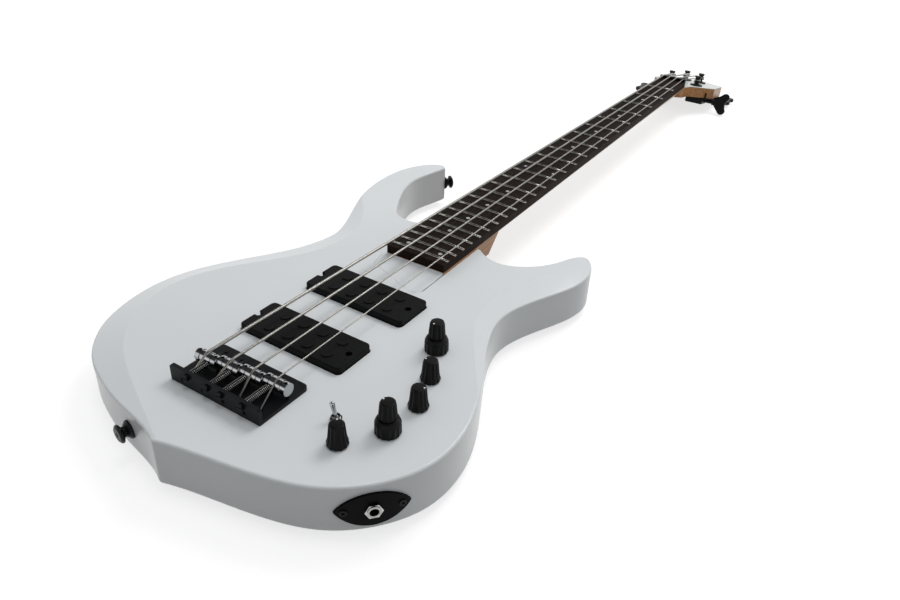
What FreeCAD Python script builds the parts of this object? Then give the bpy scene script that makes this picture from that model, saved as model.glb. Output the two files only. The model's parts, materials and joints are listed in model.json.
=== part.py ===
import FreeCAD, Part
import math
import os

V = FreeCAD.Vector

# Electric bass guitar lying on its back, in millimetres.
# X runs from the bass side to the treble side, Y from the tail to the headstock, Z up.
# The origin is on the back of the body, on the centre line, under the saddle line.

# Clearances
runGap = 0.05
seatGap = 0.15
moveGap = 0.3

# Cross recess in a screw's head
crossShare = 0.6
crossWidth = 0.9
crossDepth = 0.9

# Strings and scale, bass to treble
scaleLength = 864.0
stringNames = ["e", "a", "d", "g"]
stringRadii = [1.33, 1.08, 0.83, 0.57]
nutStringPitch = 10.1
bridgeStringPitch = 20.0
stringOverBoard = 3.2
stringOverTop = 16.2
saddleSetback = [-4.4, -2.0, 0.3, 2.6]
stringHoleShift = [-3.0, -3.0, 2.5, 2.5]
stringHoleY = -18.3
stringBend = 6.0

# Body
bodyThickness = 40.0
topRound = 2.0
backRound = 3.5
tailRidgeRound = 4.0
hornEdgeRound = 3.0
bevelSlope = 0.3
bevelReach = 36.0
rimRise = 0.5
scoopSlope = 0.16
scoopRound = 1.5

# Neck and fretboard
fretCount = 24
nutHalfWidth = 19.0
lastFretHalfWidth = 30.75
boardRise = 2.3
boardEdgeThickness = 7.8
boardRadius = 400.0
camberHalfWidth = 25.0
boardOverhang = 8.0
fretWidth = 2.6
fretHeight = 1.2
fretInset = 0.3
dotRadius = 2.0
dotDepth = 1.5
doubleDotX = 17.4
singleDots = [3, 5, 7, 9, 15, 17, 19, 21]
doubleDots = [12, 24]
nutThickness = 4.5
nutRise = 0.8
shaftDepthNut = 14.0
shaftDepthMiddle = 15.2
shaftDepthBody = 16.5
shaftInset = 22.0
shaftBeyond = 2.0
tongueLength = 33.0
tongueWestLength = 15.0
pocketDepth = 16.0
pocketBeyond = 40.0
tongueStepDepth = 3.0
heelLip = 1.2
heelRun = 99.0
trussRadius = 2.4
trussNutRadius = 3.4
trussNutLength = 9.0
trussDepth = 9.6
trussHeadMargin = 40.0
trussTailMargin = 20.0

# Cover over the neck's tongue, set flush in the top
coverThickness = 2.5
coverGap = 0.25
coverCorner = 5.0
coverWest = -35.5
coverEast = 30.5
coverSlantWest = -31.0
coverSlantEast = 19.6
coverWestLength = 19.0
coverEastLength = 38.4
rampLength = 14.0

# Neck plate and bolts
plateHalfWidth = 26.0
plateLength = 58.0
plateInset = 14.0
plateThickness = 1.5
plateCorner = 5.0
boltRadius = 2.4
boltHeadRadius = 4.6
boltHeadHeight = 3.0
boltInset = 8.0
boltCover = 5.0

# Headstock
headTilt = 11.0
headThickness = 14.5
headRise = 0.5
headStart = 2.0
headNeckHalf = 20.5
headRootInset = 0.6
headRootY = 4.0
headFlareY = 26.0
headShoulderY = 64.0
headShoulderHalf = 48.0
headSideY = 117.0
headSideHalf = 45.5
headEndY = 141.0
headEndHalf = 12.0
headCorner = 5.0
headVolute = 22.0

# Tuners, on the tilted head: near pair and far pair
tunerX = [-20.5, -11.5, 11.5, 20.5]
tunerY = [58.0, 109.0, 109.0, 58.0]
keyTurn = [11.0, 15.0, 8.0, 63.0]
keyReach = [30.0, 33.0, 33.0, 30.0]
postRadius = 4.4
waistRadius = 3.4
waistBottom = 2.8
waistTop = 11.0
postHeight = 14.5
bushingRadius = 6.5
bushingFlangeRadius = 9.0
bushingFlange = 2.0
gearRadius = 7.0
gearHeight = 6.0
wormRadius = 2.6
housingWall = 1.6
housingRound = 1.5
gearGap = 0.4
wormMesh = 0.15
housingOuter = 17.0
housingBaseThickness = 1.8
housingEar = 5.5
housingFloor = 1.6
keyShaftRadius = 3.0
keyLobeX = 15.0
keyLobeSpread = 10.5
keyLobeRadius = 6.0
keyNeckHalf = 3.4
keyThickness = 5.0
keyRound = 1.6
wrapTurns = 1.5
wrapGap = 0.6
wrapTop = 9.6
wrapLead = 12.0
tunerScrewRadius = 1.3
tunerScrewHead = 2.3
tunerScrewHeadHeight = 1.0
tunerScrewLength = 9.0

# Bridge
bridgeCentreX = -1.5
bridgeMargin = 3.0
bridgeFront = 21.0
bridgeTail = -27.6
bridgeThickness = 3.0
bridgeCorner = 4.0
flangeOverScrew = 3.9
flangeThickness = 3.0
flangeCorner = 1.5
saddleRadius = 5.0
saddleGap = 0.4
stringSeat = 0.6
setScrewRadius = 1.25
setScrewSpacing = 7.7
setScrewSink = 0.6
screwDrop = 1.0
screwRadius = 1.5
screwHeadRadius = 2.7
screwHeadLength = 2.2
screwBeyond = 9.0
screwShift = [2.9, 2.6, -4.5, -4.5]
springRadius = 2.35
springWire = 0.4
springPitch = 1.45
topLoadHoleRadius = 1.5
topLoadHoleHeight = 4.6
topLoadHoleShift = -2.7
bridgeScrewRadius = 1.9
bridgeScrewHead = 3.4
bridgeScrewLength = 24.0
bridgeScrewY = 14.0
bridgeScrewPitch = 16.0
bridgeScrewCount = 5
ferruleRadius = 4.0
ferruleHeight = 8.0
ballRadius = 2.6
ballLength = 4.0
ballSeat = 5.0
stringBore = 2.2

# Pickups
pickupCentreX = -1.4
pickupHalfLength = 49.8
pickupWidth = 39.0
bridgePickupShare = 0.3314
neckPickupShare = 0.1572
pickupRise = 5.6
pickupBury = 12.0
pickupWall = 1.6
pickupCorner = 4.0
pickupTopRound = 1.0
pickupCavityDepth = 22.0
pickupCavityGap = 0.5
notchWidth = 6.5
notchDepth = 5.3
pickupScrewInset = 2.8
trebleScrewInset = 6.2
pickupScrewRadius = 1.5
pickupScrewHead = 2.2
pickupScrewHeadHeight = 1.8
pickupLugHeight = 3.0
poleRadius = 4.6
poleProud = 0.6
poleBury = 4.0
poleRowOffset = 9.0
poleCount = 4

# Controls: three single knobs, two stacked pairs and a small toggle
singleKnobs = {"blend_knob": (93.8, -10.8), "mid_knob": (114.9, 50.2), "tone_knob": (104.4, 80.0)}
stackedKnobs = {"preamp_knob": (113.1, 17.7), "volume_knob": (87.7, 112.6)}
togglePlace = (77.8, 6.8)
knobLift = 0.6
knobSkirtRadius = 7.7
knobWaistRadius = 6.3
knobTopRadius = 5.6
knobSkirtHeight = 3.2
knobHeight = 17.6
knobRecessRadius = 6.0
knobRecessHeight = 3.0
knobEdge = 0.8
knobCrown = 3.0
ringRadius = 9.4
ringTopRadius = 8.7
ringHeight = 12.2
upperGap = 0.5
upperHeight = 13.3
upperBaseRadius = 6.6
potRadius = 10.0
potHeight = 10.0
bushRadius = 4.2
bushHeight = 8.6
shaftRadius = 3.0
shaftDepth = 9.0
innerShaftRadius = 1.6
nutHexRadius = 5.6
nutHexHeight = 1.9
topSkin = 6.0
leverRadius = 1.25
leverTipRadius = 1.9
leverLength = 11.0
leverLean = 15.0
leverBall = 2.2
leverPivotRise = 2.2
toggleBushRadius = 3.1
toggleBushRise = 4.2
toggleNutHex = 4.6
toggleNutHeight = 2.2
toggleCanWidth = 13.0
toggleCanLength = 7.0
toggleCanHeight = 11.0

# Control cavity, its cover, the preamplifier board and its battery
cavityCorners = [(58.0, -12.0), (80.0, -27.0), (108.0, -20.0), (130.0, 14.0), (133.0, 56.0),
                 (122.0, 96.0), (104.0, 136.0), (68.0, 136.0), (66.0, 100.0), (76.0, 60.0), (58.0, 28.0)]
cavityCorner = 7.0
cavityLedge = 5.0
coverPlateThickness = 2.5
coverScrewRadius = 1.4
coverScrewHead = 2.6
coverScrewHeadHeight = 1.4
coverScrewLength = 10.0
boardCentre = (96.0, 18.0)
boardSize = (24.0, 46.0, 1.6)
boardBelowPots = 7.0
standoffRadius = 2.0
standoffInset = 3.0
batteryCentre = (104.0, 70.0)
batterySize = (26.5, 48.5, 17.5)
batteryRound = 2.0

# Output jack on the treble side of the tail
jackGuide = (135.0, -26.5)
jackPlateLength = 50.0
jackPlateHeight = 27.0
jackPlateThickness = 2.0
jackBoreRadius = 3.2
jackBushRadius = 4.7
jackBodyRadius = 9.0
jackBodyLength = 17.0
jackSetback = 0.8
jackBoreDepth = 27.0
jackHoleRadius = 10.5
jackHoleDepth = 45.0
jackNutRadius = 6.2
jackNutThickness = 1.8
jackBushBeyond = 0.6
jackScrewOffset = 19.0
jackScrewRadius = 1.3
jackScrewHead = 2.5
jackScrewHeadHeight = 0.7
jackScrewLength = 14.0

# Strap buttons
tailButtonGuide = (-46.0, -66.0)
buttonBase = 7.0
buttonWaist = 4.0
buttonHead = 7.0
buttonBaseHeight = 2.5
buttonLength = 9.4
buttonHeadHeight = 3.0
buttonBore = 2.1
strapScrewRadius = 2.0
strapScrewHead = 3.8
strapScrewHeadHeight = 2.4
strapScrewLength = 30.0


def fretPlace(number):
    return scaleLength * 2.0 ** (-number / 12.0)


def halfWidth(y):
    span = scaleLength - fretPlace(fretCount)
    return nutHalfWidth + (lastFretHalfWidth - nutHalfWidth) * (scaleLength - y) / span


# Heights that follow the body's top, and places along the neck that follow the scale
bodyTop = bodyThickness
sideMiddle = bodyThickness / 2
boardBottom = bodyTop + boardRise
tongueBottom = bodyTop - pocketDepth
tongueStep = bodyTop - tongueStepDepth
boltTip = bodyTop - boltCover
headTop = boardBottom + headRise
stringHeightNut = boardBottom + boardEdgeThickness + stringOverBoard
stringHeightSaddle = bodyTop + stringOverTop
saddleCentre = stringHeightSaddle - saddleRadius - stringSeat
screwAxis = saddleCentre - screwDrop
flangeHeight = screwAxis + flangeOverScrew - bodyTop
saddleLength = bridgeStringPitch - saddleGap
bridgeHalfWidth = 1.5 * bridgeStringPitch + saddleLength / 2 + bridgeMargin
pickupCavityFloor = bodyTop - pickupCavityDepth
ceiling = bodyTop - topSkin
leverPivot = bodyTop + leverPivotRise
toggleBushTop = bodyTop + toggleBushRise
boardLift = ceiling - potHeight - boardBelowPots
boardEnd = fretPlace(fretCount) - boardOverhang
tongueEnd = boardEnd - tongueLength
heelEnd = boardEnd + heelRun
coverSouth = boardEnd - coverEastLength
pickupRoom = coverSouth - bridgeFront - 2 * pickupWidth
bridgePickupY = bridgeFront + pickupRoom * bridgePickupShare
neckPickupY = coverSouth - pickupWidth - pickupRoom * neckPickupShare
parts = {}


def box(x0, x1, y0, y1, z0, z1):
    return Part.makeBox(x1 - x0, y1 - y0, z1 - z0, V(x0, y0, z0))


def rod(radius, length, base, axis=V(0, 0, 1)):
    return Part.makeCylinder(radius, length, base, axis)


def polygon(points, z):
    ring = [V(x, y, z) for x, y in points]
    return Part.makePolygon(ring + [ring[0]])


def prism(points, z0, z1):
    return Part.Face(polygon(points, z0)).extrude(V(0, 0, z1 - z0))


def uprightEdges(shape):
    found = []
    for edge in shape.Edges:
        ends = [v.Point for v in edge.Vertexes]
        if len(ends) == 2 and (ends[1] - ends[0]).cross(V(0, 0, 1)).Length < 1e-6:
            found.append(edge)
    return found


def roundedPrism(points, z0, z1, radius):
    shape = prism(points, z0, z1)
    return shape.makeFillet(radius, uprightEdges(shape))


def hexagon(acrossCorners, height, base):
    corners = [(base.x + acrossCorners * math.cos(k * math.pi / 3),
                base.y + acrossCorners * math.sin(k * math.pi / 3)) for k in range(6)]
    return prism(corners, base.z, base.z + height)


def turned(profile):
    wire = Part.makePolygon([V(r, 0, z) for r, z in profile + profile[:1]])
    return Part.Face(wire).revolve(V(0, 0, 0), V(0, 0, 1), 360)


def moved(shape, place):
    copy = shape.copy()
    copy.Placement = place.multiply(copy.Placement)
    return copy


def facing(point, axis):
    return FreeCAD.Placement(point, FreeCAD.Rotation(V(0, 0, 1), axis))


def crossSlot(headRadius, point, axis):
    # Cross recess cut into a screw's head whose face lies at the point.
    reach = headRadius * crossShare
    half = crossWidth / 2
    cross = box(-reach, reach, -half, half, -crossDepth, crossDepth)
    return moved(cross.fuse(box(-half, half, -reach, reach, -crossDepth, crossDepth)), facing(point, axis))


def splineEdge(points):
    curve = Part.BSplineCurve()
    curve.interpolate([V(x, y, 0) for x, y in points])
    return curve


def arcFrom(start, tangent, end):
    chord = end - start
    along = V(chord).normalize()
    sideways = tangent - along * tangent.dot(along)
    if sideways.Length < 1e-9:
        return Part.LineSegment(start, end).toShape()
    angle = math.acos(max(-1.0, min(1.0, tangent.dot(along))))
    rise = chord.Length / 2 * math.tan(angle / 2)
    middle = start + chord * 0.5 + sideways.normalize() * rise
    return Part.Arc(start, middle, end).toShape()


def biarc(start, startTangent, end, endTangent):
    chord = end - start
    both = startTangent + endTangent
    turn = 2 * (1 - startTangent.dot(endTangent))
    lean = chord.dot(both)
    reach = (-lean + math.sqrt(lean * lean + turn * chord.dot(chord))) / turn
    middle = (start + end + (startTangent - endTangent) * reach) * 0.5
    leg = V(middle - start).normalize()
    middleTangent = leg * 2 * startTangent.dot(leg) - startTangent
    return [arcFrom(start, startTangent, middle), arcFrom(middle, middleTangent.normalize(), end)]


def helixEdges(centre, radius, pitch, turns, way, startAngle):
    # Coil about Z that starts at the centre's height; way is +1 or -1 seen from above.
    quarters = int(round(turns * 4))
    slope = pitch / (2 * math.pi * radius)
    ends = []
    for k in range(quarters + 1):
        angle = startAngle + way * k * math.pi / 2
        spot = centre + V(radius * math.cos(angle), radius * math.sin(angle), pitch * k / 4)
        tangent = V(-way * math.sin(angle), way * math.cos(angle), slope).normalize()
        ends.append((spot, tangent))
    edges = []
    for (p0, t0), (p1, t1) in zip(ends, ends[1:]):
        edges += biarc(p0, t0, p1, t1)
    return edges, ends


def tube(edges, radius, start, tangent):
    path = Part.Wire(edges)
    ring = Part.Wire(Part.makeCircle(radius, start, tangent))
    pipe = Part.BRepOffsetAPI.MakePipeShell(path)
    pipe.add(ring)
    pipe.build()
    pipe.makeSolid()
    return pipe.shape()


def coilSelfGap(radius, pitch, turns, wire):
    samples = [(radius * math.cos(a), radius * math.sin(a), pitch * a / (2 * math.pi))
               for a in (k * math.pi / 12 for k in range(int(turns * 24) + 1))]
    least = 1e9
    for i, p in enumerate(samples):
        for q in samples[i + 18:]:
            least = min(least, math.dist(p, q))
    return least - 2 * wire


def bentPath(points, bend):
    # Straight runs joined by arcs of the given radius, as edges in order.
    edges = []
    here = points[0]
    for before, corner, after in zip(points, points[1:], points[2:]):
        incoming = V(corner - before).normalize()
        outgoing = V(after - corner).normalize()
        half = math.acos(max(-1.0, min(1.0, incoming.dot(outgoing)))) / 2
        cut = bend * math.tan(half)
        first = corner - incoming * cut
        last = corner + outgoing * cut
        edges.append(Part.LineSegment(here, first).toShape())
        edges.append(arcFrom(first, incoming, last))
        here = last
    edges.append(Part.LineSegment(here, points[-1]).toShape())
    return edges


# Body outline, in four curves from the tail ridge round the treble side
tailRidge = (-6.0, -77.6)
hornInner = (-97.5, 406.0)
hornOuter = (-103.5, 410.2)
trebleNeck = (33.0, 268.0)
bassNeck = (-44.0, 278.0)
trebleCurve = splineEdge([tailRidge, (30, -69), (74, -60), (110, -46), (137, -22), (153, 8), (156, 36),
                          (150, 68), (130.5, 112), (111.5, 152), (104, 182), (110.5, 218), (124, 250.5),
                          (132, 276), (132.5, 294), (126.5, 309), (117, 315.5), (110, 310), (102, 294),
                          (91, 276), (77, 264), (60, 257.5), (46, 260), trebleNeck])
hornInnerCurve = splineEdge([bassNeck, (-58, 276), (-71, 280), (-85, 298), (-100, 329), (-106, 362),
                             (-102, 385), hornInner])
bassCurve = splineEdge([hornOuter, (-112.5, 406.5), (-124, 394), (-132, 377), (-136, 352), (-135, 326),
                        (-130, 300),
                        (-122, 276), (-113, 254), (-104.5, 232), (-101.5, 217), (-104, 203), (-111, 180),
                        (-129, 145), (-147, 113), (-160, 82), (-164, 50), (-161, 24), (-152, -4),
                        (-138, -24), (-120, -39.5), (-98, -50.5), (-73, -59.5), (-46, -66), (-25, -70.5),
                        tailRidge])


def flat(point):
    return V(point[0], point[1], 0)


outline = Part.Wire([trebleCurve.toShape(), Part.LineSegment(flat(trebleNeck), flat(bassNeck)).toShape(),
                     hornInnerCurve.toShape(), Part.LineSegment(flat(hornInner), flat(hornOuter)).toShape(),
                     bassCurve.toShape()])
slab = Part.Face(outline).extrude(V(0, 0, bodyThickness))


def edgesAt(shape, place):
    spot = flat(place)
    return [e for e in uprightEdges(shape) if math.dist(e.Vertexes[0].Point[:2], spot[:2]) < 0.01]


slab = slab.makeFillet(tailRidgeRound, edgesAt(slab, tailRidge))
slab = slab.makeFillet(hornEdgeRound, edgesAt(slab, hornInner) + edgesAt(slab, hornOuter))
plainSlab = slab


def rimEdges(shape, z):
    return [e for e in shape.Edges if abs(e.BoundBox.ZMin - z) < 1e-4 and abs(e.BoundBox.ZMax - z) < 1e-4]


slab = slab.makeFillet(backRound, rimEdges(slab, 0))
slab = slab.makeFillet(topRound, rimEdges(slab, bodyThickness))

# Forearm bevel on the bass side and a shallow scoop along the treble waist and horn: ruled slopes from a
# crease on the top out past the side
bevelCrease = [(-141, 322), (-120, 284), (-98, 257), (-84, 225), (-82, 196), (-97, 154), (-125, 111),
               (-142, 72), (-141, 34), (-124, -2), (-96, -28), (-60, -48), (-27, -64), (6, -80)]
scoopCrease = [(146, 78), (127, 107), (106, 137), (91, 165), (85, 190), (88, 222), (98, 252), (107, 276),
               (115, 298), (123, 320)]


def outwards(points, reach):
    result = []
    for k, (x, y) in enumerate(points):
        x0, y0 = points[max(0, k - 1)]
        x1, y1 = points[min(len(points) - 1, k + 1)]
        length = math.hypot(x1 - x0, y1 - y0)
        result.append((x + reach * (y1 - y0) / length, y - reach * (x1 - x0) / length))
    return result


def sloped(shape, points, slope, side, rimRound):
    upper = splineEdge(points).toShape()
    upper.translate(V(0, 0, bodyThickness))
    lower = splineEdge(outwards(points, bevelReach)).toShape()
    lower.translate(V(0, 0, bodyThickness - slope * bevelReach))
    cut = shape.cut(Part.makeRuledSurface(upper, lower).extrude(V(0, 0, bodyThickness)))
    foot = bodyThickness - slope * bevelReach
    rim = [e for e in cut.Edges if foot < e.BoundBox.ZMin < bodyThickness - topRound - runGap
           and e.BoundBox.ZLength > rimRise and e.BoundBox.ZMax < bodyThickness - topRound / 4
           and e.CenterOfMass.x * side > 0]
    return cut.makeFillet(rimRound, rim)


slab = sloped(slab, bevelCrease, bevelSlope, -1, topRound)
slab = sloped(slab, scoopCrease, scoopSlope, 1, scoopRound)

# Neck, in one solid: tongue, shaft and tilted head
headPlace = FreeCAD.Placement(V(0, scaleLength + headStart, headTop), FreeCAD.Rotation(V(1, 0, 0), -headTilt))


def neckSection(y, depth):
    w = halfWidth(y)
    top = Part.LineSegment(V(-w, y, boardBottom), V(w, y, boardBottom)).toShape()
    under = Part.Arc(V(w, y, boardBottom), V(0, y, boardBottom - depth), V(-w, y, boardBottom)).toShape()
    return Part.Wire([top, under])


shaftEnd = scaleLength + nutThickness + shaftBeyond
shaft = Part.makeLoft([neckSection(heelEnd - shaftInset, shaftDepthBody),
                       neckSection(fretPlace(12), shaftDepthMiddle),
                       neckSection(shaftEnd, shaftDepthNut)], True, False)


def tongueOutline(gap, end):
    westEnd = boardEnd - tongueWestLength
    return [(-halfWidth(westEnd) - gap, westEnd - gap), (coverSlantEast, tongueEnd - gap),
            (halfWidth(tongueEnd) + gap, tongueEnd - gap), (halfWidth(end) + gap, end),
            (-halfWidth(end) - gap, end)]


tongue = prism(tongueOutline(0, heelEnd), tongueBottom, boardBottom)
heelEdges = [e for e in tongue.Edges if abs(e.CenterOfMass.z - tongueBottom) < 1e-6
             and abs(e.CenterOfMass.y - heelEnd) < 1e-6]
tongue = tongue.makeChamfer(boardBottom - tongueBottom - heelLip, heelEdges)
headSide = [(headNeckHalf - headRootInset, headRootY), (headNeckHalf, headFlareY),
            (headShoulderHalf, headShoulderY), (headSideHalf, headSideY), (headEndHalf, headEndY)]
headRing = headSide + [(-x, y) for x, y in reversed(headSide)]
headEdges = [Part.LineSegment(flat(a), flat(b)).toShape() for a, b in zip(headRing, headRing[1:])]
headEdges.append(Part.Arc(flat(headRing[-1]), V(0, -headVolute, 0), flat(headRing[0])).toShape())
head = Part.Face(Part.Wire(headEdges)).extrude(V(0, 0, headThickness))
head.translate(V(0, 0, -headThickness))
shoulderEdges = [e for e in uprightEdges(head)
                 if e.Vertexes[0].Y > headRootY + 1 and abs(e.Vertexes[0].X) > headEndHalf - 1]
head = head.makeFillet(headCorner, shoulderEdges)
head = moved(head, headPlace)
neck = tongue.fuse([shaft, head]).removeSplitter()
neck = neck.cut(box(-70, 70, tongueEnd - 1, scaleLength + 20, boardBottom, boardBottom + 20))
neck = neck.cut(box(-70, 70, tongueEnd - 1, boardEnd - coverGap, tongueStep, boardBottom + 1))

# Truss rod in its channel, with the adjusting nut under the tongue cover
rodStart = tongueEnd + trussTailMargin
rodEnd = scaleLength - trussHeadMargin
rodAxis = boardBottom - trussDepth
channel = box(-trussRadius - seatGap, trussRadius + seatGap, rodStart - trussNutLength - seatGap,
              rodEnd + seatGap, rodAxis - trussRadius - seatGap, boardBottom + 1)
nutBay = box(-trussNutRadius - 0.5, trussNutRadius + 0.5, rodStart - trussNutLength - 1, rodStart + 0.5,
             rodAxis - trussNutRadius - 0.5, boardBottom + 1)
neck = neck.cut(channel.fuse(nutBay))
trussRod = rod(trussRadius, rodEnd - rodStart, V(0, rodStart, rodAxis), V(0, 1, 0))
trussNut = moved(hexagon(trussNutRadius, trussNutLength, V(0, 0, 0)),
                 facing(V(0, rodStart, rodAxis), V(0, -1, 0)))
parts["truss_rod"] = trussRod.fuse(trussNut).removeSplitter()

# Fretboard with a cylindrical top, dots set flush and frets on its crown
camberAxis = boardBottom + boardEdgeThickness - math.sqrt(boardRadius ** 2 - camberHalfWidth ** 2)
camber = rod(boardRadius, scaleLength + 200, V(0, -50, camberAxis), V(0, 1, 0))
boardPlan = [(-halfWidth(boardEnd), boardEnd), (halfWidth(boardEnd), boardEnd),
             (nutHalfWidth, scaleLength), (-nutHalfWidth, scaleLength)]
board = prism(boardPlan, boardBottom, boardBottom + 3 * boardEdgeThickness).common(camber)


def betweenFrets(number):
    return (fretPlace(number) + fretPlace(number - 1)) / 2


dotPlaces = [(0.0, betweenFrets(n)) for n in singleDots]
dotPlaces += [(side * doubleDotX, betweenFrets(n)) for n in doubleDots for side in (-1, 1)]
dots = []
for x, y in dotPlaces:
    floor = camberAxis + math.sqrt(boardRadius ** 2 - (abs(x) + dotRadius) ** 2) - dotDepth
    dots.append(rod(dotRadius, dotDepth * 4, V(x, y, floor)).common(board))
board = board.cut(Part.makeCompound(dots))
parts["dot_inlays"] = Part.makeCompound(dots)
parts["fretboard"] = board

frets = []
for number in range(1, fretCount + 1):
    y = fretPlace(number)
    reach = math.degrees(math.asin((halfWidth(y) - fretInset) / boardRadius))
    base = camberAxis + boardRadius
    crown = Part.Arc(V(0, y - fretWidth / 2, base), V(0, y, base + fretHeight), V(0, y + fretWidth / 2, base))
    sole = Part.LineSegment(V(0, y + fretWidth / 2, base), V(0, y - fretWidth / 2, base))
    profile = Part.Face(Part.Wire([crown.toShape(), sole.toShape()]))
    profile.rotate(V(0, 0, camberAxis), V(0, 1, 0), -reach)
    frets.append(profile.revolve(V(0, 0, camberAxis), V(0, 1, 0), 2 * reach))
parts["frets"] = Part.makeCompound(frets)

# Strings: up through the body, over the saddle and the nut, and round the post
bridgeX = [bridgeStringPitch * (k - 1.5) for k in range(4)]
nutX = [nutStringPitch * (k - 1.5) for k in range(4)]
plateTop = bodyTop + bridgeThickness
strings = []
grooves = []
for k in range(4):
    radius = stringRadii[k]
    side = 1 if tunerX[k] < 0 else -1
    wrapRadius = waistRadius + moveGap + radius
    wrapPitch = 2 * radius + wrapGap
    print("string", stringNames[k], "winding least gap %.2f mm"
          % coilSelfGap(wrapRadius, wrapPitch, wrapTurns, radius))
    startAngle = 0 if side > 0 else math.pi
    down = FreeCAD.Placement(V(tunerX[k], tunerY[k], wrapTop), FreeCAD.Rotation(V(0, 1, 0), 180))
    wrap, ends = helixEdges(V(0, 0, 0), wrapRadius, wrapPitch, wrapTurns, -side, math.pi - startAngle)
    onPost = headPlace.multiply(down)
    wrap = [moved(e, onPost) for e in wrap]
    meet = onPost.multVec(ends[0][0])
    heading = onPost.Rotation.multVec(ends[0][1])
    ballTop = V(bridgeX[k] + stringHoleShift[k], stringHoleY, ballSeat)
    nutExit = V(nutX[k], scaleLength + nutThickness, stringHeightNut)
    saddleCrown = V(bridgeX[k], saddleSetback[k], stringHeightSaddle)
    route = [ballTop, V(ballTop.x, ballTop.y, plateTop + 0.5), saddleCrown, nutExit,
             meet - heading * wrapLead, meet]
    path = bentPath(route, stringBend) + wrap
    grooves.append(tube(bentPath(route[1:4], stringBend), radius + runGap, route[1],
                        V(saddleCrown - route[1])))
    wire = tube(path, radius, ballTop, V(0, 0, 1))
    ball = rod(ballRadius, ballLength, V(ballTop.x, ballTop.y, ballTop.z - ballLength))
    strings.append(wire.fuse(ball))
parts["strings"] = Part.makeCompound(strings)

# Nut across the board's end
nutTop = stringHeightNut + nutRise
nutBlock = box(-nutHalfWidth, nutHalfWidth, scaleLength, scaleLength + nutThickness, boardBottom, nutTop)
for k in range(4):
    slotRadius = stringRadii[k] + seatGap
    slotBase = V(nutX[k], scaleLength - 1, stringHeightNut)
    nutBlock = nutBlock.cut(rod(slotRadius, nutThickness + 2, slotBase, V(0, 1, 0)))
    nutBlock = nutBlock.cut(box(nutX[k] - slotRadius, nutX[k] + slotRadius, scaleLength - 1,
                                scaleLength + nutThickness + 1, stringHeightNut, nutTop + 1))
parts["nut"] = nutBlock

# Bridge plate with its raised flange at the tail end
west = bridgeCentreX - bridgeHalfWidth
east = bridgeCentreX + bridgeHalfWidth
plate = box(west, east, bridgeTail, bridgeFront, bodyTop, plateTop)
plate = plate.makeFillet(bridgeCorner, [e for e in uprightEdges(plate) if e.Vertexes[0].Y > 0])
flange = box(west, east, bridgeTail, bridgeTail + flangeThickness, bodyTop, bodyTop + flangeHeight)
flangeTips = [e for e in flange.Edges if abs(e.CenterOfMass.z - bodyTop - flangeHeight) < 1e-6
              and e.BoundBox.XLength < 1e-6]
flange = flange.makeChamfer(flangeCorner, flangeTips)
plate = plate.fuse(flange).removeSplitter()
flangeInner = bridgeTail + flangeThickness
screwX = [bridgeX[k] + screwShift[k] for k in range(4)]
bodyHoles = []
for k in range(4):
    plate = plate.cut(rod(screwRadius + runGap, flangeThickness + 2,
                          V(screwX[k], bridgeTail - 1, screwAxis), V(0, 1, 0)))
    topLoad = V(bridgeX[k] + topLoadHoleShift, bridgeTail - 1, bodyTop + topLoadHoleHeight)
    plate = plate.cut(rod(topLoadHoleRadius, flangeThickness + 2, topLoad, V(0, 1, 0)))
    hole = V(bridgeX[k] + stringHoleShift[k], stringHoleY, -1)
    plate = plate.cut(rod(stringBore, bodyTop + 20, hole))
    bodyHoles.append(rod(stringBore, bodyTop + 2, hole))
    bodyHoles.append(rod(ferruleRadius, ferruleHeight + 1, hole))

bridgeScrews = []
for k in range(bridgeScrewCount):
    x = bridgeCentreX + bridgeScrewPitch * (k - (bridgeScrewCount - 1) / 2)
    cone = Part.makeCone(bridgeScrewRadius, bridgeScrewHead, bridgeThickness,
                         V(x, bridgeScrewY, plateTop - bridgeThickness))
    tip = V(x, bridgeScrewY, bodyTop - bridgeScrewLength)
    shank = rod(bridgeScrewRadius, bridgeScrewLength, tip)
    plate = plate.cut(cone)
    bodyHoles.append(rod(bridgeScrewRadius, bridgeScrewLength + 1, tip))
    slot = crossSlot(bridgeScrewHead, V(x, bridgeScrewY, plateTop), V(0, 0, 1))
    bridgeScrews.append(cone.fuse(shank).removeSplitter().cut(slot))
parts["bridge_plate"] = plate
parts["bridge_screws"] = Part.makeCompound(bridgeScrews)

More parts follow.
